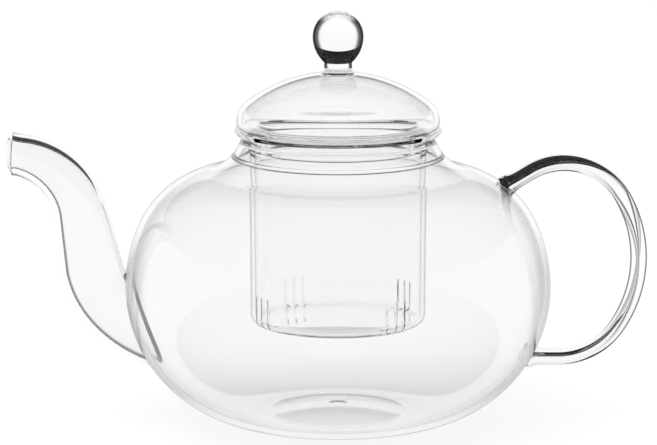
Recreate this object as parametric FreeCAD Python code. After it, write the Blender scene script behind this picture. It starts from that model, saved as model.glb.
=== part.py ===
import FreeCAD, Part

import math
import os

from FreeCAD import Vector

# Glass teapot with a drop-in infuser and a ball-knobbed lid, in millimetres.
# Origin: centre of the base ring on the table. +Z up, +X towards the handle, -X towards the spout.

# Globe of the pot
globe_radius = 82.0
belly_height = 52.5
belly_upper_radius = 57.4
belly_upper_sweep = 26.4
shoulder_radius = 36.1
pot_wall = 2.2
neck_bore_radius = 35.7
neck_flare = 18.0
neck_ring_drop = 6.4
neck_ring_diameter = 2.4
neck_ring_height = 0.7
rim_height = 109.2
base_ring_width = 3.0
punt_height = 3.5
pontil_diameter = 6.0
pontil_depth = 0.7

# Spout: out of the globe, up the riser and over to the mouth
spout_root_height = 37.4
spout_root_depth = 11.6
spout_root_bend = 26.9
spout_riser_angle = 79.4
spout_riser_length = 21.1
spout_mouth_bend = 29.3
spout_mouth_angle = 2.6
spout_root_diameter = 35.0
spout_riser_diameter = 23.4
spout_mouth_diameter = 16.2
spout_lip_diameter = 17.2
spout_lip_length = 4.0
spout_root_taper = 3.0
spout_mouth_taper = 1.05
spout_root_wall = 1.3
spout_lip_wall = 2.7
spout_lip_bead = 3.2
spout_sections = 15

# Handle: a bent thick-walled tube with an upset foot at each end
handle_diameter = 6.5
handle_upper_height = 91.4
handle_rise_angle = 31.0
handle_upper_run = 10.6
handle_stand_off = 37.2
handle_top_heading = -58.4
handle_side_heading = -124.8
handle_bottom_bend = 26.0
handle_lower_height = 24.6
handle_foot_diameter = 8.8
handle_foot_flare = 6.0

# Oval bore of the handle at six headings of the tube: its centre outwards and towards +Y, its half
# length and half width, all as shares of the tube's radius, and the tilt of its long side in degrees
bore_at_rise = (-0.21, 0.19, 0.73, 0.38, 35.0)
bore_at_crest = (-0.16, 0.14, 0.76, 0.48, 29.0)
bore_at_top_end = (0.05, 0.0, 0.8, 0.78, 0.0)
bore_at_side = (-0.05, 0.0, 0.6, 0.12, 0.0)
bore_at_side_end = (0.0, 0.1, 0.52, 0.3, -15.0)
bore_at_bottom = (0.22, 0.18, 0.52, 0.39, -32.0)
bore_turn_step = 12.0
bore_row_points = 16

# Infuser cup
infuser_gap = 1.95
infuser_wall = 1.6
infuser_depth = 71.2
infuser_corner = 4.0
infuser_foot_width = 3.0
infuser_floor_rise = 1.2
flange_angle = 45.0
flange_bend = 4.0
flange_overhang = 1.9
flange_bead = 2.2
slot_groups = (-60.0, 41.0, 124.0, 213.0)
slots_per_group = 3
slot_pitch = 7.5
slot_width = 0.8
slot_height = 13.0
slot_reach = 1.0

# Lid dome and knob
lid_inset = 0.8
lid_wall = 1.8
lid_roll_radius = 3.0
lid_shoulder_radius = 9.2
lid_dome_radius = 59.2
skirt_gap = 2.35
skirt_length = 7.7
skirt_fillet = 2.0
knob_diameter = 19.4
knob_lower_radius = 13.5
knob_neck_diameter = 10.6
knob_neck_length = 1.95
boss_fillet = 2.2

# Gap left between curved seats that rest on each other
seat_clearance = 0.3

AXIS = Vector(0, 0, 1)
ORIGIN = Vector(0, 0, 0)


def at(radius, height):
    """A point of the XZ half plane."""
    return Vector(radius, 0, height)


def polar(centre, radius, degrees):
    """The point at an angle on a circle of the XZ half plane."""
    angle = math.radians(degrees)
    return centre + Vector(radius * math.cos(angle), 0, radius * math.sin(angle))


def heading(start, end):
    """Direction from one point of the half plane to another, in degrees."""
    return math.degrees(math.atan2(end.z - start.z, end.x - start.x))


def arc(centre, radius, first, last):
    """A circular edge between two angles, in degrees."""
    middle = polar(centre, radius, (first + last) / 2)
    return Part.Arc(polar(centre, radius, first), middle, polar(centre, radius, last)).toShape()


def line(start, end):
    return Part.LineSegment(start, end).toShape()


def turned(edges):
    """The solid of revolution of a closed outline, with its seam at +Y, clear of spout and handle."""
    outline = Part.Face(Part.Wire(Part.__sortEdges__(edges)))
    return outline.rotated(ORIGIN, AXIS, 90).revolve(ORIGIN, AXIS, 360)


def touching(first, first_radius, second, second_radius, radius):
    """Centre of a circle that touches two others from outside, to the right of the way between them."""
    apart = (second - first).Length
    from_first, from_second = first_radius + radius, second_radius + radius
    along = (apart**2 + from_first**2 - from_second**2) / (2 * apart)
    aside = math.sqrt(from_first**2 - along**2)
    step = (second - first) / apart
    return first + step * along + Vector(step.z, 0, -step.x) * aside


# Globe outline: tangent arcs from the base ring to the flared neck, with the inside a wall away
neck_radius = neck_bore_radius + pot_wall
ring_radius = globe_radius - belly_height
lower_centre = at(ring_radius, belly_height)
upper_centre = at(globe_radius - belly_upper_radius, belly_height)
shoulder_centre = polar(upper_centre, belly_upper_radius - shoulder_radius, belly_upper_sweep)
rim_centre = at(neck_bore_radius + pot_wall / 2, rim_height - pot_wall / 2)
flare_centre = touching(shoulder_centre, shoulder_radius, rim_centre, pot_wall / 2, neck_flare)
flare_foot = heading(shoulder_centre, flare_centre)
flare_top = heading(rim_centre, flare_centre)
neck_ring_level = rim_height - neck_ring_drop
neck_ring_reach = neck_flare + pot_wall + neck_ring_height - neck_ring_diameter / 2
neck_ring_aside = math.sqrt(neck_ring_reach**2 - (flare_centre.z - neck_ring_level) ** 2)
neck_ring_radius = flare_centre.x - neck_ring_aside
punt_edge = ring_radius - base_ring_width
punt_radius = (punt_edge**2 + punt_height**2) / (2 * punt_height)
punt_centre = at(0, punt_height - punt_radius)
pontil_reach = pontil_diameter / 2
pontil_edge = at(pontil_reach, punt_centre.z + math.sqrt(punt_radius**2 - pontil_reach**2))
pontil_radius = (pontil_reach**2 + pontil_depth**2) / (2 * pontil_depth)
pontil_centre = at(0, pontil_edge.z + pontil_depth - pontil_radius)


def globe_side(inset):
    """Edges from the base ring up to the round rim, moved inwards by inset."""
    return [
        arc(lower_centre, belly_height - inset, -90, 0),
        arc(upper_centre, belly_upper_radius - inset, 0, belly_upper_sweep),
        arc(shoulder_centre, shoulder_radius - inset, belly_upper_sweep, flare_foot),
        arc(flare_centre, neck_flare + inset, flare_foot - 180, flare_top - 180),
    ]


def rim(end):
    """Edge over the round rim, from the outside to an angle."""
    return arc(rim_centre, pot_wall / 2, flare_top, end)


def punt(inset, end):
    """Edges of the pushed-up base from the base ring in to an angle of its arc."""
    radius = punt_radius + inset
    edge = math.sqrt(radius**2 - (inset - punt_centre.z) ** 2)
    start = at(edge, inset)
    return [
        line(at(ring_radius, inset), start),
        arc(punt_centre, radius, heading(punt_centre, start), end),
    ]


def globe_surface_radius(height):
    """Outer radius of the globe at a height between its base ring and its rim."""
    if height >= polar(shoulder_centre, shoulder_radius, flare_foot).z:
        return flare_centre.x - math.sqrt(neck_flare**2 - (height - flare_centre.z) ** 2)
    if height <= belly_height:
        centre, radius = lower_centre, belly_height
    elif height <= polar(upper_centre, belly_upper_radius, belly_upper_sweep).z:
        centre, radius = upper_centre, belly_upper_radius
    else:
        centre, radius = shoulder_centre, shoulder_radius
    return centre.x + math.sqrt(radius**2 - (height - centre.z) ** 2)


def make_globe_block():
    """The globe filled solid, which the spout and the handle are trimmed against."""
    mouth_line = line(at(rim_centre.x, rim_height), at(0, rim_height))
    axis_line = line(at(0, rim_height), at(0, punt_height))
    return turned(globe_side(0) + punt(0, 90) + [rim(90), mouth_line, axis_line])


def make_globe_shell():
    """The blown shell, with the pontil mark in its base and a ring of glass inside the neck's root."""
    pontil = arc(pontil_centre, pontil_radius, heading(pontil_centre, pontil_edge), 90)
    outside = globe_side(0) + punt(0, heading(punt_centre, pontil_edge)) + [pontil]
    axis_line = line(at(0, pontil_centre.z + pontil_radius), at(0, punt_height + pot_wall))
    inside = globe_side(pot_wall) + punt(pot_wall, 90)
    shell = turned(outside + [axis_line] + inside + [rim(flare_top + 180)])
    ring = Part.makeTorus(neck_ring_radius, neck_ring_diameter / 2, at(0, neck_ring_level))
    return shell.fuse(ring)


# Spout: circles along a centre line of two bends and a straight riser
root_bend_length = math.radians(spout_riser_angle) * spout_root_bend
mouth_bend_turn = spout_riser_angle - spout_mouth_angle
mouth_bend_length = math.radians(mouth_bend_turn) * spout_mouth_bend
mouth_bend_start = root_bend_length + spout_riser_length
spout_length = mouth_bend_start + mouth_bend_length
lip_start = spout_length - spout_lip_length


def bent(start, turn_from, turn_to, radius):
    """End of a bend that begins at start. Angles are above level, along -X."""
    first, last = math.radians(turn_from), math.radians(turn_to)
    side = math.copysign(radius, turn_to - turn_from)
    along = side * (math.sin(last) - math.sin(first))
    rise = side * (math.cos(first) - math.cos(last))
    return start + Vector(-along, 0, rise)


def ahead(start, distance, degrees):
    angle = math.radians(degrees)
    return start + Vector(-distance * math.cos(angle), 0, distance * math.sin(angle))


def spout_place(distance):
    """Centre and slope of the spout's centre line at a distance along it."""
    root = globe_surface_radius(spout_root_height) - spout_root_depth
    start = at(-root, spout_root_height)
    if distance <= root_bend_length:
        slope = math.degrees(distance / spout_root_bend)
        return bent(start, 0, slope, spout_root_bend), slope
    riser = bent(start, 0, spout_riser_angle, spout_root_bend)
    if distance <= mouth_bend_start:
        return ahead(riser, distance - root_bend_length, spout_riser_angle), spout_riser_angle
    mouth = ahead(riser, spout_riser_length, spout_riser_angle)
    slope = spout_riser_angle - math.degrees((distance - mouth_bend_start) / spout_mouth_bend)
    return bent(mouth, spout_riser_angle, slope, spout_mouth_bend), slope


def spout_radius(distance):
    """Outer radius: a trumpet at the root, a long taper and a flared lip."""
    root, riser = spout_root_diameter / 2, spout_riser_diameter / 2
    mouth, lip = spout_mouth_diameter / 2, spout_lip_diameter / 2
    if distance <= root_bend_length:
        left = 1 - distance / root_bend_length
        return riser + (root - riser) * left**spout_root_taper
    done = (distance - root_bend_length) / (lip_start - root_bend_length)
    if done <= 1:
        return riser - (riser - mouth) * done**spout_mouth_taper
    flare = (distance - lip_start) / spout_lip_length
    return mouth + (lip - mouth) * flare**2


def spout_bore_radius(distance):
    """Inner radius: the wall is even round the root bend and thickens from there to the lip."""
    done = max(distance - root_bend_length, 0) / (spout_length - root_bend_length)
    wall = spout_root_wall + (spout_lip_wall - spout_root_wall) * done
    return spout_radius(distance) - wall


def spout_circle(distance, radius):
    centre, slope = spout_place(distance)
    angle = math.radians(slope)
    along = Vector(-math.cos(angle), 0, math.sin(angle))
    return Part.Wire([Part.Circle(centre, along, radius).toShape()])


def spout_loft(radius_at):
    """A solid round the spout's centre line, with its radius given along that line."""
    distances = [lip_start * i / spout_sections for i in range(spout_sections + 1)]
    distances += [lip_start + spout_lip_length / 2, spout_length]
    circles = [spout_circle(distance, radius_at(distance)) for distance in distances]
    return Part.makeLoft(circles, True)


def make_spout(globe_block, bore):
    """The tube outside the globe, ending in a fire-polished bead at the lip."""
    tip, slope = spout_place(spout_length)
    angle = math.radians(slope)
    along = Vector(-math.cos(angle), 0, math.sin(angle))
    bead_ring = spout_lip_diameter / 2 - spout_lip_wall / 2
    bead = Part.makeTorus(bead_ring, spout_lip_bead / 2, tip, along)
    return spout_loft(spout_radius).cut(bore).cut(globe_block).fuse(bead).removeSplitter()


# Handle centre line: a straight foot, three tangent bends and a level foot
def handle_bend_radii(bend_start):
    """Radii of the top and side bends that give the stand-off and end level with the lower foot."""
    rise, top = math.radians(handle_rise_angle), math.radians(handle_top_heading)
    side = math.radians(handle_side_heading)
    reach = globe_radius + handle_stand_off - handle_diameter / 2 - bend_start.x
    drop = handle_lower_height - bend_start.z + handle_bottom_bend * (1 + math.cos(side))
    top_reach, side_reach = math.sin(rise) - math.sin(top), math.sin(top) + 1
    top_drop, side_drop = math.cos(top) - math.cos(rise), math.cos(side) - math.cos(top)
    share = top_reach * side_drop - top_drop * side_reach
    top_bend = (reach * side_drop - drop * side_reach) / share
    side_bend = (top_reach * drop - top_drop * reach) / share
    return top_bend, side_bend


def handle_bends(bend_start):
    """Centre, radius and headings of the three bends, which turn clockwise, and the end of the last one."""
    top_bend, side_bend = handle_bend_radii(bend_start)
    turns = [
        (top_bend, handle_rise_angle, handle_top_heading),
        (side_bend, handle_top_heading, handle_side_heading),
        (handle_bottom_bend, handle_side_heading, -180),
    ]
    bends = []
    start = bend_start
    for radius, first, last in turns:
        centre = polar(start, radius, first - 90)
        bends.append((centre, radius, first, last))
        start = polar(centre, radius, last + 90)
    return bends, start


def make_bend(centre, radius, first, last):
    start = polar(centre, radius, first + 90)
    section = Part.Circle(start, polar(ORIGIN, 1, first), handle_diameter / 2).toShape()
    return Part.Face(Part.Wire([section])).revolve(centre, Vector(0, 1, 0), first - last)


# Foot of the handle: its radius grows along an arc that leaves the tube smoothly
foot_step = (handle_foot_diameter - handle_diameter) / 2
foot_arc = (handle_foot_flare**2 + foot_step**2) / (2 * foot_step)
foot_sink = 2 * pot_wall


def make_foot(tube_end, root):
    """An upset foot: the tube from tube_end flares towards root, and runs on into the glass."""
    length = (root - tube_end).Length
    tube, foot = handle_diameter / 2, handle_foot_diameter / 2
    flare_start = length - handle_foot_flare
    sweep = math.degrees(math.asin(handle_foot_flare / foot_arc))
    outline = [
        line(at(0, 0), at(tube, 0)),
        line(at(tube, 0), at(tube, flare_start)),
        arc(at(tube + foot_arc, flare_start), foot_arc, 180, 180 - sweep),
        line(at(foot, length), at(foot, length + foot_sink)),
        line(at(foot, length + foot_sink), at(0, length + foot_sink)),
        line(at(0, length + foot_sink), at(0, 0)),
    ]
    foot_solid = turned(outline)
    foot_solid.Placement = FreeCAD.Placement(tube_end, FreeCAD.Rotation(AXIS, root - tube_end))
    return foot_solid


def bore_oval(turn):
    """Centre, half sizes and tilt of the bore at a heading, evenly between the named ones."""
    named = [
        (handle_rise_angle, bore_at_rise),
        (0, bore_at_crest),
        (handle_top_heading, bore_at_top_end),
        (-90, bore_at_side),
        (handle_side_heading, bore_at_side_end),
        (-180, bore_at_bottom),
    ]
    before = [station for station in named if station[0] >= turn][-1]
    after = [station for station in named if station[0] <= turn][0]
    if before == after:
        return before[1]
    done = (before[0] - turn) / (before[0] - after[0])
    return [old + (new - old) * done for old, new in zip(before[1], after[1])]


def bore_row(point, turn, radius):
    """Points round the oval at a place on the centre line of a tube of that radius, back to the first."""
    lift, depth, length, width, tilt = bore_oval(turn)
    outward, away = polar(ORIGIN, 1, turn + 90), Vector(0, 1, 0)
    angle = math.radians(tilt)
    along = (away * math.cos(angle) + outward * math.sin(angle)) * length
    across = (outward * math.cos(angle) - away * math.sin(angle)) * width
    row = []
    for step in range(bore_row_points + 1):
        round_angle = 2 * math.pi * step / bore_row_points
        middle = outward * lift + away * depth
        reach = along * math.cos(round_angle) + across * math.sin(round_angle)
        row.append(point + (middle + reach) * radius)
    return row


def foot_bore(root, inward, turn):
    """Rows of the bore from inside the globe's wall out to the start of the flare."""
    tube, foot = handle_diameter / 2, handle_foot_diameter / 2
    half = handle_foot_flare / 2
    middle = tube + foot_arc - math.sqrt(foot_arc**2 - half**2)
    return [
        bore_row(root + inward * foot_sink, turn, foot),
        bore_row(root, turn, foot),
        bore_row(root - inward * half, turn, middle),
        bore_row(root - inward * handle_foot_flare, turn, tube),
    ]


def skinned(rows):
    """The solid inside a smooth skin through closed rows of points, with a flat cap at each end."""
    surface = Part.BSplineSurface()
    surface.interpolate(rows)
    skin = surface.toShape()
    caps = [Part.Face(Part.Wire([edge])) for edge in skin.Edges if edge.isClosed()]
    shell = Part.makeShell([skin] + caps)
    shell.sewShape()
    return Part.Solid(shell)


def make_handle_bore(upper_root, lower_root, bend_start, bends):
    tube = handle_diameter / 2
    rows = foot_bore(upper_root, -polar(ORIGIN, 1, handle_rise_angle), handle_rise_angle)
    rows.append(bore_row(bend_start, handle_rise_angle, tube))
    for centre, radius, first, last in bends:
        steps = math.ceil((first - last) / bore_turn_step)
        for step in range(1, steps + 1):
            turn = first + (last - first) * step / steps
            rows.append(bore_row(polar(centre, radius, turn + 90), turn, tube))
    rows += reversed(foot_bore(lower_root, Vector(-1, 0, 0), -180))
    return skinned(rows)


def make_handle(globe_block):
    upper_root = at(globe_surface_radius(handle_upper_height), handle_upper_height)
    lower_root = at(globe_surface_radius(handle_lower_height), handle_lower_height)
    bend_start = polar(upper_root, handle_upper_run, handle_rise_angle)
    bends, run_start = handle_bends(bend_start)
    upper_foot, lower_foot = make_foot(bend_start, upper_root), make_foot(run_start, lower_root)
    outside = upper_foot.fuse([make_bend(*bend) for bend in bends] + [lower_foot])
    bore = make_handle_bore(upper_root, lower_root, bend_start, bends)
    return outside.cut(bore).cut(globe_block).removeSplitter()


# Infuser: a cup hung by its flared flange, which rests on the pot's rim
cup_radius = neck_bore_radius - infuser_gap
cup_bottom = rim_height - infuser_depth
flange_radius = neck_radius + flange_overhang
flange_out = polar(ORIGIN, 1, flange_angle)
flange_up = polar(ORIGIN, 1, flange_angle + 90)
bend_radius = cup_radius + flange_bend
bend_lift = pot_wall / 2 + seat_clearance - flange_bend + flange_up.x * (rim_centre.x - bend_radius)
bend_centre = at(bend_radius, rim_centre.z + bend_lift / flange_up.z)
flange_root = bend_centre + flange_up * flange_bend
bead_radius = flange_bead / 2
bead_run = flange_radius - bead_radius - flange_root.x - flange_up.x * infuser_wall / 2
bead_centre = flange_root + flange_out * (bead_run / flange_out.x) + flange_up * (infuser_wall / 2)


def cup_side(inset):
    """Edges from the floor corner up to the start of the flange, moved inwards by inset."""
    corner = at(cup_radius - infuser_corner, cup_bottom + infuser_corner)
    wall = cup_radius - inset
    return [
        arc(corner, infuser_corner - inset, -90, 0),
        line(at(wall, corner.z), at(wall, bend_centre.z)),
        arc(bend_centre, flange_bend + inset, 180, flange_angle + 90),
    ]


def cup_floor(inset):
    """Edges of the slightly domed floor, from the corner to the axis."""
    corner_edge = cup_radius - infuser_corner
    edge = corner_edge - infuser_foot_width
    radius = (edge**2 + infuser_floor_rise**2) / (2 * infuser_floor_rise)
    centre = at(0, cup_bottom + infuser_floor_rise - radius)
    radius += inset
    level = cup_bottom + inset
    start = at(math.sqrt(radius**2 - (level - centre.z) ** 2), level)
    return [line(at(corner_edge, level), start), arc(centre, radius, heading(centre, start), 90)]


def make_infuser():
    half_wall = infuser_wall / 2
    neck_of_bead = math.sqrt(bead_radius**2 - half_wall**2)
    under = bead_centre - flange_out * neck_of_bead - flange_up * half_wall
    over = bead_centre - flange_out * neck_of_bead + flange_up * half_wall
    crest = bead_centre + flange_out * bead_radius
    middle = cup_bottom + infuser_floor_rise
    flange = [
        line(flange_root, under),
        Part.Arc(under, crest, over).toShape(),
        line(over, flange_root + flange_up * infuser_wall),
    ]
    axis_line = line(at(0, middle), at(0, middle + infuser_wall))
    outline = cup_side(0) + cup_floor(0) + flange + [axis_line] + cup_side(infuser_wall)
    cup = turned(outline + cup_floor(infuser_wall))
    return cup.cut(make_slots())


def make_slots():
    """Saw cuts up the wall from the floor corner, in groups round the cup."""
    inner = cup_radius - infuser_corner - slot_reach
    depth = infuser_corner + slot_reach + infuser_wall
    low = cup_bottom - infuser_wall
    cutter = Part.makeBox(slot_width, depth, slot_height + infuser_wall)
    cutter.translate(Vector(-slot_width / 2, -inner - depth, low))
    cuts = []
    for group in slot_groups:
        for index in range(slots_per_group):
            turn = group + (index - (slots_per_group - 1) / 2) * slot_pitch
            cuts.append(cutter.rotated(ORIGIN, AXIS, turn))
    return Part.makeCompound(cuts)


# Lid: a blown dome whose rolled edge sits in the infuser's flange, with a skirt inside the cup
lid_radius = flange_radius - lid_inset
skirt_radius = cup_radius - infuser_wall - skirt_gap
roll_reach = lid_roll_radius + bead_radius + seat_clearance
roll_aside = bead_centre.x - (lid_radius - lid_roll_radius)
lid_level = bead_centre.z + math.sqrt(roll_reach**2 - roll_aside**2)
roll_centre = at(lid_radius - lid_roll_radius, lid_level)
lid_shoulder_centre = at(lid_radius - lid_shoulder_radius, lid_level)
dome_drop = math.sqrt((lid_dome_radius - lid_shoulder_radius) ** 2 - lid_shoulder_centre.x**2)
dome_centre = at(0, lid_level - dome_drop)
dome_edge = heading(dome_centre, lid_shoulder_centre)
knob_neck_radius = knob_neck_diameter / 2
boss_fillet_radius = knob_neck_radius + boss_fillet
boss_rise = math.sqrt((lid_dome_radius + boss_fillet) ** 2 - boss_fillet_radius**2)
boss_fillet_centre = at(boss_fillet_radius, dome_centre.z + boss_rise)
boss_foot = heading(dome_centre, boss_fillet_centre)
boss_top = boss_fillet_centre.z


def lid_underside(inset):
    """Edges from the widest ring, under the roll and down the skirt, moved inside the sheet by inset."""
    level = lid_level - lid_roll_radius
    corner = at(skirt_radius + skirt_fillet, level - skirt_fillet)
    skirt = skirt_radius - inset
    return [
        arc(roll_centre, lid_roll_radius - inset, 0, -90),
        line(at(roll_centre.x, level + inset), at(corner.x, level + inset)),
        arc(corner, skirt_fillet + inset, 90, 180),
        line(at(skirt, corner.z), at(skirt, level - skirt_length)),
    ]


def make_lid_dome():
    shoulder = lid_shoulder_radius
    skirt_end = at(skirt_radius - lid_wall / 2, lid_level - lid_roll_radius - skirt_length)
    outside = [
        arc(lid_shoulder_centre, shoulder, 0, dome_edge),
        arc(dome_centre, lid_dome_radius, dome_edge, boss_foot),
        arc(boss_fillet_centre, boss_fillet, boss_foot - 180, -180),
        line(at(knob_neck_radius, boss_top), at(0, boss_top)),
    ]
    inside = [
        arc(lid_shoulder_centre, shoulder - lid_wall, 0, dome_edge),
        arc(dome_centre, lid_dome_radius - lid_wall, dome_edge, 90),
    ]
    axis_line = line(at(0, boss_top), at(0, dome_centre.z + lid_dome_radius - lid_wall))
    skirt_lip = [arc(skirt_end, lid_wall / 2, 0, -180)]
    sheet = lid_underside(0) + skirt_lip + lid_underside(lid_wall)
    return turned(outside + [axis_line] + inside + sheet)


def make_lid_knob():
    """A solid ball, drawn out a little below, on a short neck on the flat top of the lid's boss."""
    ball = knob_diameter / 2
    neck_top = at(knob_neck_radius, boss_top + knob_neck_length)
    lower_aside = ball - knob_lower_radius
    lower_rise = math.sqrt(knob_lower_radius**2 - (knob_neck_radius - lower_aside) ** 2)
    lower = at(lower_aside, neck_top.z + lower_rise)
    centre = at(0, lower.z)
    outline = [
        line(at(0, boss_top), at(knob_neck_radius, boss_top)),
        line(at(knob_neck_radius, boss_top), neck_top),
        arc(lower, knob_lower_radius, heading(lower, neck_top), 0),
        arc(centre, ball, 0, 90),
        line(at(0, centre.z + ball), at(0, boss_top)),
    ]
    return turned(outline)


def main():
    globe_block = make_globe_block()
    bore = spout_loft(spout_bore_radius)
    pieces = {
        "pot_body": make_globe_shell().cut(bore),
        "spout": make_spout(globe_block, bore),
        "handle": make_handle(globe_block),
        "infuser": make_infuser(),
        "lid_dome": make_lid_dome(),
        "lid_knob": make_lid_knob(),
    }
    os.makedirs("parts", exist_ok=True)
    for name, shape in pieces.items():
        box = shape.BoundBox
        size = f"{box.XLength:.1f} x {box.YLength:.1f} x {box.ZLength:.1f} mm, top {box.ZMax:.1f}"
        print(name, shape.isValid(), len(shape.Solids), f"{shape.Volume / 1000:.1f} cm3", size)
        shape.exportStep(f"parts/{name}.step")


main()
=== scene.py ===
import math

import bmesh
import bpy
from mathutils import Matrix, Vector


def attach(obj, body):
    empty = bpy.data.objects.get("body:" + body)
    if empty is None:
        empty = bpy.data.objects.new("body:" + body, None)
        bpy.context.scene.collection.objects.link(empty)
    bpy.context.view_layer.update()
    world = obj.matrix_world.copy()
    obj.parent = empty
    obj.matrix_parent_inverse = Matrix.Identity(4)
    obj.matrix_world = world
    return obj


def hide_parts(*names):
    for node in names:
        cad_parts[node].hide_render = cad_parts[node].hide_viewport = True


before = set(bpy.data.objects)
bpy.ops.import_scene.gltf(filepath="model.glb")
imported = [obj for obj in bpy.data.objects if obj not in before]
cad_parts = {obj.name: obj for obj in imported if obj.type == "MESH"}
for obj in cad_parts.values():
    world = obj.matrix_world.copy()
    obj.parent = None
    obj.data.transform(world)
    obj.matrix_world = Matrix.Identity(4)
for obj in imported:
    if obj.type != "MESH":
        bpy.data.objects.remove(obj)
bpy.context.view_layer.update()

# Glass teapot with a drop-in infuser and a ball-knobbed lid. Sizes are in millimetres.
# Origin: centre of the base ring on the table. +Z up, +X towards the handle, -X towards the spout.
MM = 0.001

# Globe of the pot
globe_radius = 82.0
belly_height = 52.5
belly_upper_radius = 57.4
belly_upper_sweep = 26.4
shoulder_radius = 36.1
pot_wall = 2.2
neck_bore_radius = 35.7
neck_flare = 18.0
neck_ring_drop = 6.4
neck_ring_diameter = 2.4
neck_ring_height = 0.7
rim_height = 109.2
base_ring_width = 3.0
punt_height = 3.5
pontil_diameter = 6.0
pontil_depth = 0.7

# Spout
spout_root_height = 37.4
spout_root_depth = 11.6
spout_root_bend = 26.9
spout_riser_angle = 79.4
spout_riser_length = 21.1
spout_mouth_bend = 29.3
spout_mouth_angle = 2.6
spout_root_diameter = 35.0
spout_riser_diameter = 23.4
spout_mouth_diameter = 16.2
spout_lip_diameter = 17.2
spout_lip_length = 4.0
spout_root_taper = 3.0
spout_mouth_taper = 1.05
spout_root_wall = 1.3
spout_lip_wall = 2.7
spout_lip_bead = 3.2

# Handle
handle_diameter = 6.5
handle_upper_height = 91.4
handle_rise_angle = 31.0
handle_upper_run = 10.6
handle_stand_off = 37.2
handle_top_heading = -58.4
handle_side_heading = -124.8
handle_bottom_bend = 26.0
handle_lower_height = 24.6
handle_foot_diameter = 8.8
handle_foot_flare = 6.0

# Oval bore of the handle at six headings of the tube: the heading, the oval's centre outwards and
# towards +Y, its half length and half width as shares of the tube's radius, and its tilt in degrees
handle_bore_stations = (
    (handle_rise_angle, -0.21, 0.19, 0.73, 0.38, 35.0),
    (0.0, -0.16, 0.14, 0.76, 0.48, 29.0),
    (handle_top_heading, 0.05, 0.0, 0.8, 0.78, 0.0),
    (-90.0, -0.05, 0.0, 0.6, 0.12, 0.0),
    (handle_side_heading, 0.0, 0.1, 0.52, 0.3, -15.0),
    (-180.0, 0.22, 0.18, 0.52, 0.39, -32.0),
)

# Infuser cup
infuser_gap = 1.95
infuser_wall = 1.6
infuser_depth = 71.2
infuser_corner = 4.0
infuser_foot_width = 3.0
infuser_floor_rise = 1.2
flange_angle = 45.0
flange_bend = 4.0
flange_overhang = 1.9
flange_bead = 2.2
slot_groups = (-60.0, 41.0, 124.0, 213.0)
slots_per_group = 3
slot_pitch = 7.5
slot_width = 0.8
slot_height = 13.0
slot_reach = 1.0

# Lid dome and knob
lid_inset = 0.8
lid_wall = 1.8
lid_roll_radius = 3.0
lid_shoulder_radius = 9.2
lid_dome_radius = 59.2
skirt_gap = 2.35
skirt_length = 7.7
skirt_fillet = 2.0
knob_diameter = 19.4
knob_lower_radius = 13.5
knob_neck_diameter = 10.6
knob_neck_length = 1.95
boss_fillet = 2.2
seat_clearance = 0.3

# How the glass is meshed: length and turn of a step along an outline, steps round the pot, the spout and
# the handle, and the angle from which an edge is sharp
outline_step = 0.8
outline_turn = 5.0
turn_steps = 240
tube_steps = 96
rod_steps = 72
crease_angle = 35.0

# Points closer than this are one point, and a face this close to a weld lies on it
same_point = 1e-4
weld_tolerance = 1e-3

# Where the welded pieces part: this far out from the globe's skin
weld_reach = 0.8

# Camera, from the outline of the pot in the photograph (657 x 445 pixels), with its sight in metres
photo_width = 657
focal_pixels = 3430.7
sensor_width = 36.0
camera_place = (-3.66, -1300.0, 310.8)
camera_pitch = 10.187
camera_sight = 100.0

# Glass of every kind, with a line of painted shade, mixed with black, where it is edge on
glass_ior = 1.47
glass_bounces = 32
glass_shine = 0.3
facing_blend = 0.5
painted_line_edge = (0.86, 0.97)
painted_line_share = 0.4

# Kinds of glass: how much light it lets through, the ranges of facing, from 0 facing the eye to 1 edge on,
# where the sides get painted shade, their colour going down to a level, and where a share of black is painted
# in, and the rises of the outward normal between which this painted shade holds, as none, full, full and
# none. Rises past 1 or -1 set no end
glass_kinds = {
    "blown_glass": {
        "clear": 0.957, "sides": (0.58, 0.78), "level": 0.5, "dark": (0.72, 0.86), "share": 0.22,
        "rises": (-0.9, -0.6, 0.1, 0.5),
    },
    "thin_glass": {
        "clear": 0.985, "sides": (0.7, 0.9), "level": 0.3, "dark": (0.8, 0.95), "share": 0.3,
        "rises": (-0.9, -0.6, 0.1, 0.5),
    },
    "ring_glass": {
        "clear": 0.957, "sides": (0.6, 0.85), "level": 0.1, "dark": (0.7, 0.9), "share": 0.6,
        "rises": (-3.0, -2.0, 2.0, 3.0),
    },
    "spout_glass": {
        "clear": 0.957, "sides": (0.58, 0.78), "level": 1.0, "dark": (0.86, 0.97), "share": 0.4,
        "rises": (-3.0, -2.0, 0.0, 0.2),
    },
    "bore_glass": {
        "clear": 0.957, "sides": (0.46, 0.7), "level": 0.02, "dark": (0.5, 0.75), "share": 0.9,
        "rises": (-0.1, 0.1, 2.0, 3.0),
    },
    "handle_glass": {
        "clear": 0.975, "sides": (0.34, 0.5), "level": 0.02, "dark": (0.7, 0.9), "share": 0.1,
        "rises": (-0.9, -0.4, 0.4, 0.9),
    },
    "handle_bore": {
        "clear": 0.975, "sides": (0.15, 0.4), "level": 0.02, "dark": (0.3, 0.6), "share": 0.5,
        "rises": (-0.9, -0.4, 0.4, 0.9),
    },
    "knob_glass": {
        "clear": 0.957, "sides": (0.26, 0.42), "level": 0.02, "dark": (0.4, 0.64), "share": 0.85,
        "rises": (-3.0, -2.0, 0.6, 0.95),
    },
}

# Waves of hand work in the glass: how many to the metre, and their height
wave_scale = 25.0
wave_detail = 1.0
wave_height = 0.02

# Share of light that the cut faces of the slots and the bead of the flange let straight through
cut_clearness = 0.92
bead_clearness = 0.87

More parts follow.
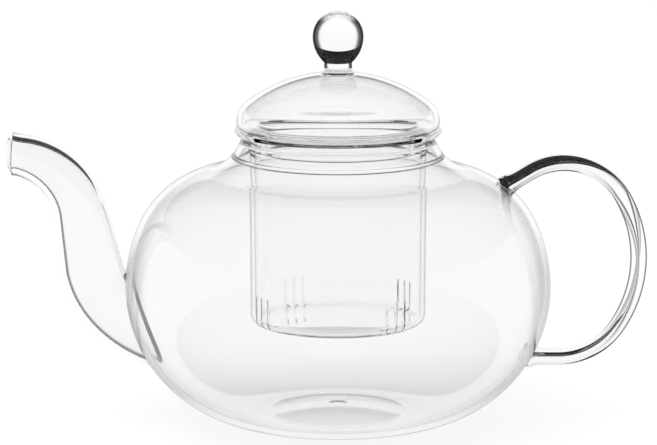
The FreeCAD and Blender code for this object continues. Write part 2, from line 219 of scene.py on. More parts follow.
# Studio, in metres: a white screen stands round the table, and through glass the room over it is dim.
# The ceiling's angles are in degrees above level
screen_radius = 0.7
screen_height = 0.288
screen_steps = 96
room_level = 0.01
room_shine = 1.0
ceiling_from = 76.0
ceiling_full = 88.0
ceiling_level = 0.9
floor_reach = 8.0
floor_gap = 0.00005
floor_shade = 0.9
floor_white_share = 0.9
softbox_place = (-0.5, -0.4, 1.4)
softbox_size = 1.2
softbox_power = 20.0


def at(radius, height):
    return Vector((radius, 0, height))


def polar(centre, radius, degrees):
    """The point at an angle on a circle of the XZ half plane."""
    angle = math.radians(degrees)
    return centre + Vector((radius * math.cos(angle), 0, radius * math.sin(angle)))


def heading(start, end):
    return math.degrees(math.atan2(end.z - start.z, end.x - start.x))


def arc(centre, radius, first, last):
    """Points along a circle between two angles, in degrees, close enough to read as a curve."""
    turn = abs(last - first)
    steps = max(turn / outline_turn, math.radians(turn) * radius / outline_step)
    count = max(2, math.ceil(steps))
    return [polar(centre, radius, first + (last - first) * i / count) for i in range(count + 1)]


def spread(start, end):
    """Points along a straight line."""
    count = max(1, math.ceil((end - start).length / outline_step))
    return [start.lerp(end, i / count) for i in range(count + 1)]


def joined(*runs):
    """One outline from runs of points that follow each other, without the shared ends."""
    outline = []
    for run in runs:
        for point in run:
            if not outline or (point - outline[-1]).length > same_point:
                outline.append(point)
    return outline


def new_piece(name, vertices, faces, materials, marks=None):
    """A mesh object in metres, facing outwards. Marks are the faces' material numbers."""
    mesh = bpy.data.meshes.new(name)
    mesh.from_pydata([tuple(MM * c for c in v) for v in vertices], [], faces)
    for material in materials:
        mesh.materials.append(material)
    if marks is not None:
        mesh.polygons.foreach_set("material_index", marks)
    piece = bpy.data.objects.new(name, mesh)
    bpy.context.scene.collection.objects.link(piece)
    turn_outwards(mesh)
    return piece


def turn_outwards(mesh):
    work = bmesh.new()
    work.from_mesh(mesh)
    bmesh.ops.recalc_face_normals(work, faces=work.faces)
    if work.calc_volume(signed=True) < 0:
        bmesh.ops.reverse_faces(work, faces=work.faces)
    work.to_mesh(mesh)
    work.free()


def lathe(name, outline, materials, weld_level=None):
    """A closed outline turned about Z. Faces flat on weld_level get the second material."""
    vertices, rings = [], []
    for point in outline:
        if point.x < same_point:
            rings.append([len(vertices)])
            vertices.append((0, 0, point.z))
            continue
        rings.append(list(range(len(vertices), len(vertices) + turn_steps)))
        for step in range(turn_steps):
            angle = 2 * math.pi * step / turn_steps
            vertices.append((point.x * math.cos(angle), point.x * math.sin(angle), point.z))
    faces, marks = [], []
    count = len(outline)
    for index in range(count):
        low, high = rings[index], rings[(index + 1) % count]
        if len(low) == 1 and len(high) == 1:
            continue
        levels = (outline[index].z, outline[(index + 1) % count].z)
        welded = weld_level is not None and max(abs(z - weld_level) for z in levels) < weld_tolerance
        for step in range(turn_steps):
            after = (step + 1) % turn_steps
            below = [low[step % len(low)], low[after % len(low)]]
            above = [high[after % len(high)], high[step % len(high)]]
            faces.append(list(dict.fromkeys(below + above)))
            marks.append(int(welded))
    return new_piece(name, vertices, faces, materials, marks)


def tube(name, rings, materials, closed, skin_rings=None):
    """A skin over rings of points, closed on itself or with caps.

    Past skin_rings it has the second material.
    """
    vertices = [point for ring in rings for point in ring]
    size, count = len(rings[0]), len(rings)
    faces, marks = [], []
    for index in range(count if closed else count - 1):
        low, high = index * size, ((index + 1) % count) * size
        for step in range(size):
            after = (step + 1) % size
            faces.append((low + step, low + after, high + after, high + step))
            marks.append(int(skin_rings is not None and index >= skin_rings))
    if not closed:
        faces.append(tuple(range(size)))
        faces.append(tuple(range((count - 1) * size, count * size)))
        marks += [0, 0]
    return new_piece(name, vertices, faces, materials, marks)


def combine(piece, other, operation):
    """Cuts, joins or keeps the overlap of two closed pieces, and drops the second one."""
    change = piece.modifiers.new(operation.lower(), "BOOLEAN")
    change.operation = operation
    change.solver = "MANIFOLD"
    change.material_mode = "TRANSFER"
    change.object = other
    apply_changes(piece)
    bpy.data.objects.remove(other)
    return piece


def apply_changes(piece):
    bpy.context.view_layer.update()
    seen = piece.evaluated_get(bpy.context.evaluated_depsgraph_get())
    mesh = bpy.data.meshes.new_from_object(seen)
    piece.modifiers.clear()
    piece.data = mesh


def finish_surface(piece):
    """Smooth shading with creases, and the upward share of the outward normal kept for the materials, which
    place their painted shade by it.
    """
    mesh = piece.data
    mesh.shade_smooth()
    mesh.set_sharp_from_angle(angle=math.radians(crease_angle))
    rise = mesh.attributes.new("rise", "FLOAT", "POINT")
    rise.data.foreach_set("value", [vertex.normal.z for vertex in mesh.vertices])


def touching(first, first_radius, second, second_radius, radius):
    """Centre of a circle that touches two others from outside, to the right of the way between them."""
    apart = (second - first).length
    from_first, from_second = first_radius + radius, second_radius + radius
    along = (apart**2 + from_first**2 - from_second**2) / (2 * apart)
    aside = math.sqrt(from_first**2 - along**2)
    step = (second - first) / apart
    return first + step * along + Vector((step.z, 0, -step.x)) * aside


# Globe outline
neck_radius = neck_bore_radius + pot_wall
ring_radius = globe_radius - belly_height
lower_centre = at(ring_radius, belly_height)
upper_centre = at(globe_radius - belly_upper_radius, belly_height)
shoulder_centre = polar(upper_centre, belly_upper_radius - shoulder_radius, belly_upper_sweep)
rim_centre = at(neck_bore_radius + pot_wall / 2, rim_height - pot_wall / 2)
flare_centre = touching(shoulder_centre, shoulder_radius, rim_centre, pot_wall / 2, neck_flare)
flare_foot = heading(shoulder_centre, flare_centre)
flare_top = heading(rim_centre, flare_centre)
neck_ring_level = rim_height - neck_ring_drop
neck_ring_reach = neck_flare + pot_wall + neck_ring_height - neck_ring_diameter / 2
neck_ring_aside = math.sqrt(neck_ring_reach**2 - (flare_centre.z - neck_ring_level) ** 2)
neck_ring_centre = at(flare_centre.x - neck_ring_aside, neck_ring_level)
punt_edge = ring_radius - base_ring_width
punt_radius = (punt_edge**2 + punt_height**2) / (2 * punt_height)
punt_centre = at(0, punt_height - punt_radius)
pontil_reach = pontil_diameter / 2
pontil_edge = at(pontil_reach, punt_centre.z + math.sqrt(punt_radius**2 - pontil_reach**2))
pontil_radius = (pontil_reach**2 + pontil_depth**2) / (2 * pontil_depth)
pontil_centre = at(0, pontil_edge.z + pontil_depth - pontil_radius)


def globe_side(inset):
    """Points from the base ring up to the round rim, moved inwards by inset."""
    return joined(
        arc(lower_centre, belly_height - inset, -90, 0),
        arc(upper_centre, belly_upper_radius - inset, 0, belly_upper_sweep),
        arc(shoulder_centre, shoulder_radius - inset, belly_upper_sweep, flare_foot),
        arc(flare_centre, neck_flare + inset, flare_foot - 180, flare_top - 180),
    )


def punt(inset, start):
    """Points of the pushed-up base from an angle of its arc out to the base ring."""
    radius = punt_radius + inset
    edge = at(math.sqrt(radius**2 - (inset - punt_centre.z) ** 2), inset)
    return joined(
        arc(punt_centre, radius, start, heading(punt_centre, edge)),
        spread(edge, at(ring_radius, inset)),
    )


def globe_surface_radius(height):
    """Outer radius of the globe at a height below the end of the shoulder arc."""
    if height <= belly_height:
        centre, radius = lower_centre, belly_height
    elif height <= polar(upper_centre, belly_upper_radius, belly_upper_sweep).z:
        centre, radius = upper_centre, belly_upper_radius
    else:
        centre, radius = shoulder_centre, shoulder_radius
    return centre.x + math.sqrt(radius**2 - (height - centre.z) ** 2)


def make_globe_block(name, inset, material):
    """The globe filled solid, with its skin moved inwards by inset."""
    rim = arc(rim_centre, pot_wall / 2 - inset, flare_top, 90)
    outline = joined(punt(inset, 90), globe_side(inset), rim, [at(0, rim_height - inset)])
    return lathe(name, outline, [material])


def make_globe_shell(glass, ring_glass):
    """The blown shell, with the pontil mark in its base and a ring of glass inside the neck's root."""
    pontil = arc(pontil_centre, pontil_radius, 90, heading(pontil_centre, pontil_edge))
    outside = joined(pontil, punt(0, heading(punt_centre, pontil_edge)), globe_side(0))
    rim = arc(rim_centre, pot_wall / 2, flare_top, flare_top + 180)
    inside = list(reversed(joined(punt(pot_wall, 90), globe_side(pot_wall))))
    shell = lathe("pot_body_glass", joined(outside, rim, inside), [glass])
    ring = lathe("neck_ring", arc(neck_ring_centre, neck_ring_diameter / 2, 0, 360)[:-1], [ring_glass])
    return combine(shell, ring, "UNION")


# Spout centre line
root_bend_length = math.radians(spout_riser_angle) * spout_root_bend
mouth_bend_turn = spout_riser_angle - spout_mouth_angle
mouth_bend_length = math.radians(mouth_bend_turn) * spout_mouth_bend
mouth_bend_start = root_bend_length + spout_riser_length
spout_length = mouth_bend_start + mouth_bend_length
lip_start = spout_length - spout_lip_length


def bent(start, turn_from, turn_to, radius):
    """End of a bend that begins at start. Angles are above level, along -X."""
    first, last = math.radians(turn_from), math.radians(turn_to)
    side = math.copysign(radius, turn_to - turn_from)
    along = side * (math.sin(last) - math.sin(first))
    rise = side * (math.cos(first) - math.cos(last))
    return start + Vector((-along, 0, rise))


def ahead(start, distance, degrees):
    angle = math.radians(degrees)
    return start + Vector((-distance * math.cos(angle), 0, distance * math.sin(angle)))


def spout_place(distance):
    """Centre and slope of the spout's centre line at a distance along it."""
    root = globe_surface_radius(spout_root_height) - spout_root_depth
    start = at(-root, spout_root_height)
    if distance <= root_bend_length:
        slope = math.degrees(distance / spout_root_bend)
        return bent(start, 0, slope, spout_root_bend), slope
    riser = bent(start, 0, spout_riser_angle, spout_root_bend)
    if distance <= mouth_bend_start:
        return ahead(riser, distance - root_bend_length, spout_riser_angle), spout_riser_angle
    mouth = ahead(riser, spout_riser_length, spout_riser_angle)
    slope = spout_riser_angle - math.degrees((distance - mouth_bend_start) / spout_mouth_bend)
    return bent(mouth, spout_riser_angle, slope, spout_mouth_bend), slope


def spout_radius(distance):
    """Outer radius: a trumpet at the root, a long taper and a flared lip."""
    root, riser = spout_root_diameter / 2, spout_riser_diameter / 2
    mouth, lip = spout_mouth_diameter / 2, spout_lip_diameter / 2
    if distance <= root_bend_length:
        left = 1 - distance / root_bend_length
        return riser + (root - riser) * left**spout_root_taper
    done = (distance - root_bend_length) / (lip_start - root_bend_length)
    if done <= 1:
        return riser - (riser - mouth) * done**spout_mouth_taper
    flare = (distance - lip_start) / spout_lip_length
    return mouth + (lip - mouth) * flare**2


def spout_bore_radius(distance):
    """Inner radius: the wall is even round the root bend and thickens from there to the lip."""
    done = max(distance - root_bend_length, 0) / (spout_length - root_bend_length)
    wall = spout_root_wall + (spout_lip_wall - spout_root_wall) * done
    return spout_radius(distance) - wall


def spout_ring(distance, radius, forward=0.0):
    """A circle round the centre line, moved forward past the point at that distance."""
    centre, slope = spout_place(distance)
    angle = math.radians(slope)
    along = Vector((-math.cos(angle), 0, math.sin(angle)))
    up = Vector((math.sin(angle), 0, math.cos(angle)))
    ring = []
    for step in range(tube_steps):
        turn = 2 * math.pi * step / tube_steps
        out = up * math.cos(turn) + Vector((0, math.sin(turn), 0))
        ring.append(centre + along * forward + radius * out)
    return ring


def spout_distances():
    count = math.ceil(spout_length / outline_step)
    return [spout_length * i / count for i in range(count + 1)]


def make_spout_tube(skin, bore):
    """The tube's outside and its beaded lip as one skin, with the bore in the second glass."""
    bead = spout_lip_bead / 2
    bead_ring = spout_lip_diameter / 2 - spout_lip_wall / 2
    spread_angle = math.degrees(math.asin(spout_lip_wall / spout_lip_bead))
    distances = spout_distances()
    rings = [spout_ring(d, spout_radius(d)) for d in distances[:-1]]
    for point in arc(at(bead_ring, 0), bead, spread_angle, -spread_angle):
        rings.append(spout_ring(spout_length, point.x, point.z))
    skin_rings = len(rings)
    rings += [spout_ring(d, spout_bore_radius(d)) for d in reversed(distances[:-1])]
    return tube("spout_glass", rings, [skin, bore], closed=True, skin_rings=skin_rings)


def make_spout_plug(glass):
    """The bore near the root as a solid, to open the globe's wall."""
    distances = [d for d in spout_distances() if d < root_bend_length]
    rings = [spout_ring(d, spout_bore_radius(d)) for d in distances]
    return tube("spout_plug", rings, [glass], closed=False)


def handle_arc(start, first, last, radius):
    """Points and headings along a bend that turns clockwise."""
    centre = polar(start, radius, first - 90)
    turn = first - last
    count = math.ceil(max(turn / outline_turn, math.radians(turn) * radius / outline_step))
    headings = [first + (last - first) * i / count for i in range(count + 1)]
    return [(polar(centre, radius, turn + 90), turn) for turn in headings]


def handle_run(start, end):
    turn = heading(start, end)
    return [(point, turn) for point in spread(start, end)]


def handle_bend_radii(bend_start):
    """Radii of the top and side bends that give the stand-off and end level with the lower foot."""
    rise, top = math.radians(handle_rise_angle), math.radians(handle_top_heading)
    side = math.radians(handle_side_heading)
    reach = globe_radius + handle_stand_off - handle_diameter / 2 - bend_start.x
    drop = handle_lower_height - bend_start.z + handle_bottom_bend * (1 + math.cos(side))
    top_reach, side_reach = math.sin(rise) - math.sin(top), math.sin(top) + 1
    top_drop, side_drop = math.cos(top) - math.cos(rise), math.cos(side) - math.cos(top)
    share = top_reach * side_drop - top_drop * side_reach
    top_bend = (reach * side_drop - drop * side_reach) / share
    side_bend = (top_reach * drop - top_drop * reach) / share
    return top_bend, side_bend


def handle_path():
    """Points and headings of the tube from foot to foot, each end sunk into the globe's wall."""
    sink = pot_wall / 2
    upper_root = at(globe_surface_radius(handle_upper_height), handle_upper_height)
    bend_start = polar(upper_root, handle_upper_run, handle_rise_angle)
    lower_root = at(globe_surface_radius(handle_lower_height), handle_lower_height)
    top_bend, side_bend = handle_bend_radii(bend_start)
    path = handle_run(polar(upper_root, -sink, handle_rise_angle), bend_start)
    path += handle_arc(bend_start, handle_rise_angle, handle_top_heading, top_bend)[1:]
    path += handle_arc(path[-1][0], handle_top_heading, handle_side_heading, side_bend)[1:]
    path += handle_arc(path[-1][0], handle_side_heading, -180, handle_bottom_bend)[1:]
    path += handle_run(path[-1][0], lower_root - at(sink, 0))[1:]
    return path, (upper_root, lower_root)


def handle_radius(point, roots):
    """Radius of the tube, which swells in an arc towards the nearer root."""
    rod, step = handle_diameter / 2, (handle_foot_diameter - handle_diameter) / 2
    swell = (handle_foot_flare**2 + step**2) / (2 * step)
    along = handle_foot_flare - min((point - root).length for root in roots)
    along = min(max(along, 0), handle_foot_flare)
    return rod + swell - math.sqrt(swell**2 - along**2)


def handle_ring(point, turn, radius):
    across = polar(at(0, 0), 1, turn + 90)
    angles = [2 * math.pi * step / rod_steps for step in range(rod_steps)]
    return [point + radius * (across * math.cos(a) + Vector((0, math.sin(a), 0))) for a in angles]


def bore_at(turn):
    """Offsets outwards and away, half length, half width and tilt of the bore at a heading of the tube."""
    if turn > 90:
        turn -= 360
    for first, last in zip(handle_bore_stations, handle_bore_stations[1:]):
        if turn >= last[0]:
            done = min(max((first[0] - turn) / (first[0] - last[0]), 0), 1)
            return [f + (l - f) * done for f, l in zip(first[1:], last[1:])]
    return handle_bore_stations[-1][1:]


def bore_ring(point, turn, rod):
    """The oval bore round a point of the tube's centre line."""
    outward = polar(at(0, 0), 1, turn + 90)
    away = Vector((0, 1, 0))
    lift, depth, length, width, tilt = bore_at(turn)
    tilt = math.radians(tilt)
    along = away * math.cos(tilt) + outward * math.sin(tilt)
    across = outward * math.cos(tilt) - away * math.sin(tilt)
    ring = []
    for step in range(rod_steps):
        angle = 2 * math.pi * step / rod_steps
        centre = outward * lift + away * depth
        oval = along * length * math.sin(angle) + across * width * math.cos(angle)
        ring.append(point + rod * (centre + oval))
    return ring


def make_handle_tube(skin, bore):
    """The handle's outside and its bore as one skin, each with its own glass."""
    path, roots = handle_path()
    rings = [handle_ring(point, turn, handle_radius(point, roots)) for point, turn in path]
    rings += [bore_ring(point, turn, handle_radius(point, roots)) for point, turn in reversed(path)]
    return tube("handle_glass", rings, [skin, bore], closed=True, skin_rings=len(path))


def make_pot(glass, weld):
    """Globe, spout and handle flame-welded into one, then parted just outside the globe's skin."""
    blown = glass["blown_glass"]
    core = make_globe_block("globe_core", pot_wall / 2, blown)
    spout = combine(make_spout_tube(glass["spout_glass"], glass["bore_glass"]), core, "DIFFERENCE")
    core = make_globe_block("globe_core", pot_wall / 2, blown)
    handle = combine(make_handle_tube(glass["handle_glass"], glass["handle_bore"]), core, "DIFFERENCE")
    pot = combine(make_globe_shell(blown, glass["ring_glass"]), make_spout_plug(blown), "DIFFERENCE")
    pot = combine(combine(pot, spout, "UNION"), handle, "UNION")
    outside = pot.copy()
    outside.data = pot.data.copy()
    bpy.context.scene.collection.objects.link(outside)
    combine(outside, make_globe_block("weld_skin", -weld_reach, weld), "DIFFERENCE")
    combine(pot, make_globe_block("weld_skin", -weld_reach, weld), "INTERSECT")
    spout = keep_side(outside, "spout_glass", -1)
    handle = keep_side(outside, "handle_glass", 1)
    bpy.data.objects.remove(outside)
    return pot, spout, handle


def keep_side(piece, name, side):
    """A copy of a piece with only the parts on one side of X = 0."""
    copy = piece.copy()
    copy.data = piece.data.copy()
    copy.name = name
    copy.data.name = name
    bpy.context.scene.collection.objects.link(copy)
    work = bmesh.new()
    work.from_mesh(copy.data)
    bmesh.ops.delete(work, geom=[v for v in work.verts if side * v.co.x < 0], context="VERTS")
    work.to_mesh(copy.data)
    work.free()
    return copy


# Infuser outline
cup_radius = neck_bore_radius - infuser_gap
cup_bottom = rim_height - infuser_depth
flange_radius = neck_radius + flange_overhang
flange_out = polar(at(0, 0), 1, flange_angle)
flange_up = polar(at(0, 0), 1, flange_angle + 90)
bend_radius = cup_radius + flange_bend
bend_lift = pot_wall / 2 + seat_clearance - flange_bend + flange_up.x * (rim_centre.x - bend_radius)
bend_centre = at(bend_radius, rim_centre.z + bend_lift / flange_up.z)
flange_root = bend_centre + flange_up * flange_bend
bead_radius = flange_bead / 2
bead_run = flange_radius - bead_radius - flange_root.x - flange_up.x * infuser_wall / 2
bead_centre = flange_root + flange_out * (bead_run / flange_out.x) + flange_up * (infuser_wall / 2)


def cup_side(inset):
    """Points from the floor corner up to the start of the flange, moved inwards by inset."""
    corner = at(cup_radius - infuser_corner, cup_bottom + infuser_corner)
    wall = cup_radius - inset
    return joined(
        arc(corner, infuser_corner - inset, -90, 0),
        spread(at(wall, corner.z), at(wall, bend_centre.z)),
        arc(bend_centre, flange_bend + inset, 180, flange_angle + 90),
    )


def cup_floor(inset):
    """Points of the slightly domed floor, from the axis to the corner."""
    corner_edge = cup_radius - infuser_corner
    edge = corner_edge - infuser_foot_width
    radius = (edge**2 + infuser_floor_rise**2) / (2 * infuser_floor_rise)
    centre = at(0, cup_bottom + infuser_floor_rise - radius)
    radius += inset
    level = cup_bottom + inset
    start = at(math.sqrt(radius**2 - (level - centre.z) ** 2), level)
    return joined(arc(centre, radius, 90, heading(centre, start)), spread(start, at(corner_edge, level)))


def make_infuser(glass, bead_glass, cut):
    """The cup with its flange, whose beaded edge has its own glass, and the slots cut out of it."""
    spread_angle = math.degrees(math.asin(infuser_wall / flange_bead))
    under, over = flange_angle - 180 + spread_angle, flange_angle + 180 - spread_angle
    bead = arc(bead_centre, bead_radius, under, over)
    inside = list(reversed(joined(cup_floor(infuser_wall), cup_side(infuser_wall))))
    outline = joined(cup_floor(0), cup_side(0), bead, inside)
    cup = lathe("infuser_glass", outline, [glass, bead_glass])
    bead_foot = MM * min(point.z for point in bead)
    for face in cup.data.polygons:
        if min(cup.data.vertices[index].co.z for index in face.vertices) >= bead_foot:
            face.material_index = 1
    return combine(cup, make_slots(cut), "DIFFERENCE")


def slot_corners(turn):
    """Corners of one saw cut up the wall from the floor corner: four at its inner end, four at its outer."""
    inner = cup_radius - infuser_corner - slot_reach
    outer = cup_radius + infuser_wall
    low, high = cup_bottom - infuser_wall, cup_bottom + slot_height
    half = slot_width / 2
    angle = math.radians(turn)
    out = Vector((math.sin(angle), -math.cos(angle), 0))
    side = Vector((math.cos(angle), math.sin(angle), 0))
    section = [(-half, low), (half, low), (half, high), (-half, high)]
    return [out * reach + side * s + Vector((0, 0, z)) for reach in (inner, outer) for s, z in section]


def make_slots(cut):
    """The saw cuts, in groups round the cup, as the solids that they take away."""
    vertices, faces = [], []
    sides = [(0, 1, 2, 3), (4, 5, 6, 7), (0, 1, 5, 4), (1, 2, 6, 5), (2, 3, 7, 6), (3, 0, 4, 7)]
    for group in slot_groups:
        for index in range(slots_per_group):
            turn = group + (index - (slots_per_group - 1) / 2) * slot_pitch
            faces += [tuple(len(vertices) + corner for corner in side) for side in sides]
            vertices += slot_corners(turn)
    return new_piece("slots", vertices, faces, [cut])


# Lid outline
lid_radius = flange_radius - lid_inset
skirt_radius = cup_radius - infuser_wall - skirt_gap
roll_reach = lid_roll_radius + bead_radius + seat_clearance
roll_aside = bead_centre.x - (lid_radius - lid_roll_radius)
lid_level = bead_centre.z + math.sqrt(roll_reach**2 - roll_aside**2)
roll_centre = at(lid_radius - lid_roll_radius, lid_level)
lid_shoulder_centre = at(lid_radius - lid_shoulder_radius, lid_level)
dome_drop = math.sqrt((lid_dome_radius - lid_shoulder_radius) ** 2 - lid_shoulder_centre.x**2)
dome_centre = at(0, lid_level - dome_drop)
dome_edge = heading(dome_centre, lid_shoulder_centre)
knob_neck_radius = knob_neck_diameter / 2
boss_fillet_radius = knob_neck_radius + boss_fillet
boss_rise = math.sqrt((lid_dome_radius + boss_fillet) ** 2 - boss_fillet_radius**2)
boss_fillet_centre = at(boss_fillet_radius, dome_centre.z + boss_rise)
boss_foot = heading(dome_centre, boss_fillet_centre)
boss_top = boss_fillet_centre.z


def lid_underside(inset):
    """Points from the widest ring, under the roll and down the skirt, moved inside the sheet by inset."""
    level = lid_level - lid_roll_radius
    corner = at(skirt_radius + skirt_fillet, level - skirt_fillet)
    skirt = skirt_radius - inset
    return joined(
        arc(roll_centre, lid_roll_radius - inset, 0, -90),
        spread(at(roll_centre.x, level + inset), at(corner.x, level + inset)),
        arc(corner, skirt_fillet + inset, 90, 180),
        spread(at(skirt, corner.z), at(skirt, level - skirt_length)),
    )


def make_lid_dome(glass, weld):
    shoulder = lid_shoulder_radius
    skirt_end = at(skirt_radius - lid_wall / 2, lid_level - lid_roll_radius - skirt_length)
    outline = joined(
        spread(at(0, boss_top), at(knob_neck_radius, boss_top)),
        arc(boss_fillet_centre, boss_fillet, -180, boss_foot - 180),
        arc(dome_centre, lid_dome_radius, boss_foot, dome_edge),
        arc(lid_shoulder_centre, shoulder, dome_edge, 0),
        lid_underside(0),
        arc(skirt_end, lid_wall / 2, 0, -180),
        reversed(lid_underside(lid_wall)),
        arc(lid_shoulder_centre, shoulder - lid_wall, 0, dome_edge),
        arc(dome_centre, lid_dome_radius - lid_wall, dome_edge, 90),
    )
    return lathe("lid_dome_glass", outline, [glass, weld], weld_level=boss_top)


def make_lid_knob(glass, weld):
    """A solid ball, drawn out a little below, on a short neck welded to the lid's flat-topped boss."""
    ball = knob_diameter / 2
    neck_top = at(knob_neck_radius, boss_top + knob_neck_length)
    lower_aside = ball - knob_lower_radius
    lower_rise = math.sqrt(knob_lower_radius**2 - (knob_neck_radius - lower_aside) ** 2)
    lower = at(lower_aside, neck_top.z + lower_rise)
    outline = joined(
        spread(at(0, boss_top), at(knob_neck_radius, boss_top)),
        spread(at(knob_neck_radius, boss_top), neck_top),
        arc(lower, knob_lower_radius, heading(lower, neck_top), 0),
        arc(at(0, lower.z), ball, 0, 90),
    )
    return lathe("lid_knob_glass", outline, [glass, weld], weld_level=boss_top)


def new_material(name):
    material = bpy.data.materials.new(name)
    material.use_nodes = True
    material.node_tree.nodes.clear()
    return material, material.node_tree.nodes, material.node_tree.links


def map_range(nodes, links, value, value_range, low, high):
    """A smooth step from low to high as the value goes through a range."""
    node = nodes.new("ShaderNodeMapRange")
    node.interpolation_type = "SMOOTHSTEP"
    node.inputs["From Min"].default_value = value_range[0]
    node.inputs["From Max"].default_value = value_range[1]
    node.inputs["To Min"].default_value = low
    node.inputs["To Max"].default_value = high
    links.new(value, node.inputs["Value"])
    return node.outputs["Result"]


def mixed(nodes, links, share, first, second):
    node = nodes.new("ShaderNodeMixShader")
    links.new(share, node.inputs["Fac"])
    links.new(first, node.inputs[1])
    links.new(second, node.inputs[2])
    return node.outputs["Shader"]


def combined(nodes, links, operation, first, second):
    node = nodes.new("ShaderNodeMath")
    node.operation = operation
    links.new(first, node.inputs[0])
    links.new(second, node.inputs[1])
    return node.outputs["Value"]


def glass_material(name):
    """Clear glass with painted shade on its sides and a thin painted line where it is edge on, and the faint
    waves of hand work.
    """
    kind = glass_kinds[name]
    material, nodes, links = new_material(name)
    output = nodes.new("ShaderNodeOutputMaterial")
    edge = nodes.new("ShaderNodeLayerWeight")
    edge.inputs["Blend"].default_value = facing_blend
    facing = edge.outputs["Facing"]
    normal = nodes.new("ShaderNodeAttribute")
    normal.attribute_name = "rise"
    rise = normal.outputs["Fac"]
    # Painted shade is held to the sides whose outward normal rises within the kind's range
    below = map_range(nodes, links, rise, kind["rises"][:2], 0, 1)
    above = map_range(nodes, links, rise, kind["rises"][2:], 1, 0)
    sides = combined(nodes, links, "MULTIPLY", below, above)

    shader = nodes.new("ShaderNodeBsdfPrincipled")
    shader.inputs["Transmission Weight"].default_value = 1.0
    shader.inputs["Roughness"].default_value = 0.0
    shader.inputs["IOR"].default_value = glass_ior
    shader.inputs["Specular Tint"].default_value = (glass_shine, glass_shine, glass_shine, 1)
    # Painted shade: the glass colour goes towards black as the sides turn edge on
    painted_side_shade = map_range(nodes, links, facing, kind["sides"], 0, 1 - kind["level"])
    painted_side_colour = nodes.new("ShaderNodeMixRGB")
    painted_side_colour.inputs["Color1"].default_value = (kind["clear"], kind["clear"], kind["clear"], 1)
    painted_side_colour.inputs["Color2"].default_value = (0, 0, 0, 1)
    links.new(combined(nodes, links, "MULTIPLY", painted_side_shade, sides), painted_side_colour.inputs["Fac"])
    links.new(painted_side_colour.outputs["Color"], shader.inputs["Base Color"])

    place = nodes.new("ShaderNodeTexCoord")
    waves = nodes.new("ShaderNodeTexNoise")
    waves.inputs["Scale"].default_value = wave_scale
    waves.inputs["Detail"].default_value = wave_detail
    bump = nodes.new("ShaderNodeBump")
    bump.inputs["Strength"].default_value = 1.0
    bump.inputs["Distance"].default_value = wave_height * MM
    links.new(place.outputs["Object"], waves.inputs["Vector"])
    links.new(waves.outputs["Fac"], bump.inputs["Height"])
    links.new(bump.outputs["Normal"], shader.inputs["Normal"])

    # Painted shade: black is mixed in near the edge and in a thin line at the very edge
    dark = nodes.new("ShaderNodeBsdfDiffuse")
    dark.inputs["Color"].default_value = (0, 0, 0, 1)
    painted_dark_share = map_range(nodes, links, facing, kind["dark"], 0, kind["share"])
    line = map_range(nodes, links, facing, painted_line_edge, 0, painted_line_share)
    share = combined(nodes, links, "MAXIMUM", combined(nodes, links, "MULTIPLY", painted_dark_share, sides), line)
    surface = mixed(nodes, links, share, shader.outputs["BSDF"], dark.outputs["BSDF"])
    links.new(surface, output.inputs["Surface"])
    return material


def clear_material(name, level):
    """Light goes straight through and keeps a share of its brightness."""
    material, nodes, links = new_material(name)
    output = nodes.new("ShaderNodeOutputMaterial")
    clear = nodes.new("ShaderNodeBsdfTransparent")
    clear.inputs["Color"].default_value = (level, level, level, 1)
    links.new(clear.outputs["BSDF"], output.inputs["Surface"])
    return material


def seen_directly(nodes, links):
    """1 for rays from the camera and for rays that glass reflects or lets through."""
    path = nodes.new("ShaderNodeLightPath")
    total = path.outputs["Is Camera Ray"]
    for kind in ("Is Glossy Ray", "Is Transmission Ray"):
        total = combined(nodes, links, "MAXIMUM", total, path.outputs[kind])
    return total


def floor_material():
    """Pale floor that reads as white and keeps a share of the shadow."""
    material, nodes, links = new_material("studio_floor")
    output = nodes.new("ShaderNodeOutputMaterial")
    matt = nodes.new("ShaderNodeBsdfDiffuse")
    matt.inputs["Color"].default_value = (floor_shade, floor_shade, floor_shade, 1)
    white = nodes.new("ShaderNodeEmission")
    share = nodes.new("ShaderNodeMath")
    share.operation = "MULTIPLY"
    share.inputs[1].default_value = floor_white_share
    links.new(seen_directly(nodes, links), share.inputs[0])
    surface = mixed(nodes, links, share.outputs["Value"], matt.outputs["BSDF"], white.outputs["Emission"])
    links.new(surface, output.inputs["Surface"])
    return material


def make_world():
    """White for camera, floor and reflections. Through glass the room is dim under a light ceiling."""
    world = bpy.data.worlds.new("studio")
    world.use_nodes = True
    nodes, links = world.node_tree.nodes, world.node_tree.links
    nodes.clear()
    output = nodes.new("ShaderNodeOutputWorld")
    path = nodes.new("ShaderNodeLightPath")
    place = nodes.new("ShaderNodeTexCoord")
    split = nodes.new("ShaderNodeSeparateXYZ")
    links.new(place.outputs["Generated"], split.inputs["Vector"])
    white = nodes.new("ShaderNodeBackground")
    white.inputs["Color"].default_value = (1, 1, 1, 1)
    total = white.outputs["Background"]
    ceiling = [math.sin(math.radians(height)) for height in (ceiling_from, ceiling_full)]
    for level, kind in ((room_shine, "Is Glossy Ray"), (room_level, "Is Transmission Ray")):
        room = nodes.new("ShaderNodeBackground")
        room.inputs["Color"].default_value = (1, 1, 1, 1)
        strength = map_range(nodes, links, split.outputs["Z"], ceiling, level, ceiling_level)
        links.new(strength, room.inputs["Strength"])
        total = mixed(nodes, links, path.outputs[kind], total, room.outputs["Background"])
    links.new(total, output.inputs["Surface"])
    bpy.context.scene.world = world


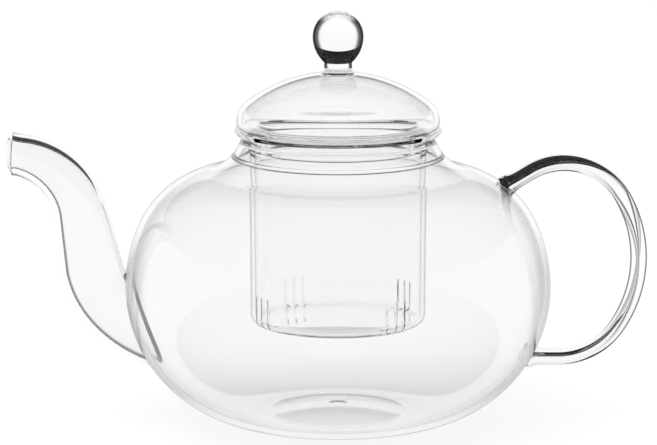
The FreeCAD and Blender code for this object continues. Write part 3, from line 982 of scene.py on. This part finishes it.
def make_screen():
    """A white screen right round the table, out of the camera's sight but seen in the glass."""
    material, nodes, links = new_material("studio_screen")
    output = nodes.new("ShaderNodeOutputMaterial")
    white = nodes.new("ShaderNodeEmission")
    links.new(white.outputs["Emission"], output.inputs["Surface"])
    vertices, faces = [], []
    for step in range(screen_steps):
        angle = 2 * math.pi * step / screen_steps
        x, y = screen_radius * math.cos(angle), screen_radius * math.sin(angle)
        vertices += [(x, y, -floor_gap), (x, y, screen_height)]
        low, after = 2 * step, 2 * ((step + 1) % screen_steps)
        faces.append((low, after, after + 1, low + 1))
    mesh = bpy.data.meshes.new("screen")
    mesh.from_pydata(vertices, [], faces)
    mesh.materials.append(material)
    screen = bpy.data.objects.new("screen", mesh)
    bpy.context.scene.collection.objects.link(screen)
    screen.visible_camera = False
    screen.visible_shadow = False


def make_floor():
    mesh = bpy.data.meshes.new("floor")
    reach, level = floor_reach, -floor_gap
    corners = [(-reach, -reach, level), (reach, -reach, level), (reach, reach, level), (-reach, reach, level)]
    mesh.from_pydata(corners, [], [(0, 1, 2, 3)])
    mesh.materials.append(floor_material())
    floor = bpy.data.objects.new("floor", mesh)
    bpy.context.scene.collection.objects.link(floor)


def make_softbox():
    """A square soft lamp that points at the pot and lights the floor without showing in the glass."""
    lamp = bpy.data.lights.new("softbox", "AREA")
    lamp.energy = softbox_power
    lamp.size = softbox_size
    box = bpy.data.objects.new("softbox", lamp)
    box.location = softbox_place
    towards_pot = Vector((0, 0, belly_height * MM)) - box.location
    box.rotation_euler = towards_pot.to_track_quat("-Z", "Y").to_euler()
    bpy.context.scene.collection.objects.link(box)
    box.visible_glossy = False
    box.visible_transmission = False


def make_camera():
    camera = bpy.data.cameras.new("camera")
    camera.sensor_width = sensor_width
    camera.lens = focal_pixels * sensor_width / photo_width
    camera.clip_end = camera_sight
    holder = bpy.data.objects.new("camera", camera)
    holder.location = [c * MM for c in camera_place]
    holder.rotation_euler = (math.radians(90 - camera_pitch), 0, 0)
    bpy.context.scene.collection.objects.link(holder)
    bpy.context.scene.camera = holder


def place_piece(piece, body, node):
    finish_surface(piece)
    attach(piece, body)
    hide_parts(node)


def main():
    glass = {name: glass_material(name) for name in glass_kinds}
    weld = clear_material("weld", 1)
    cut = clear_material("cut_glass", cut_clearness)
    bead_glass = clear_material("bead_glass", bead_clearness)
    pot, spout, handle = make_pot(glass, weld)
    place_piece(pot, "pot", "pot_body")
    place_piece(spout, "pot", "spout")
    place_piece(handle, "pot", "handle")
    place_piece(make_infuser(glass["thin_glass"], bead_glass, cut), "infuser", "infuser")
    place_piece(make_lid_dome(glass["thin_glass"], weld), "lid", "lid_dome")
    place_piece(make_lid_knob(glass["knob_glass"], weld), "lid", "lid_knob")
    make_world()
    make_screen()
    make_floor()
    make_softbox()
    make_camera()
    scene = bpy.context.scene
    scene.view_settings.view_transform = "Standard"
    scene.cycles.max_bounces = glass_bounces
    scene.cycles.transmission_bounces = glass_bounces
    scene.cycles.glossy_bounces = glass_bounces
    scene.cycles.transparent_max_bounces = glass_bounces


main()
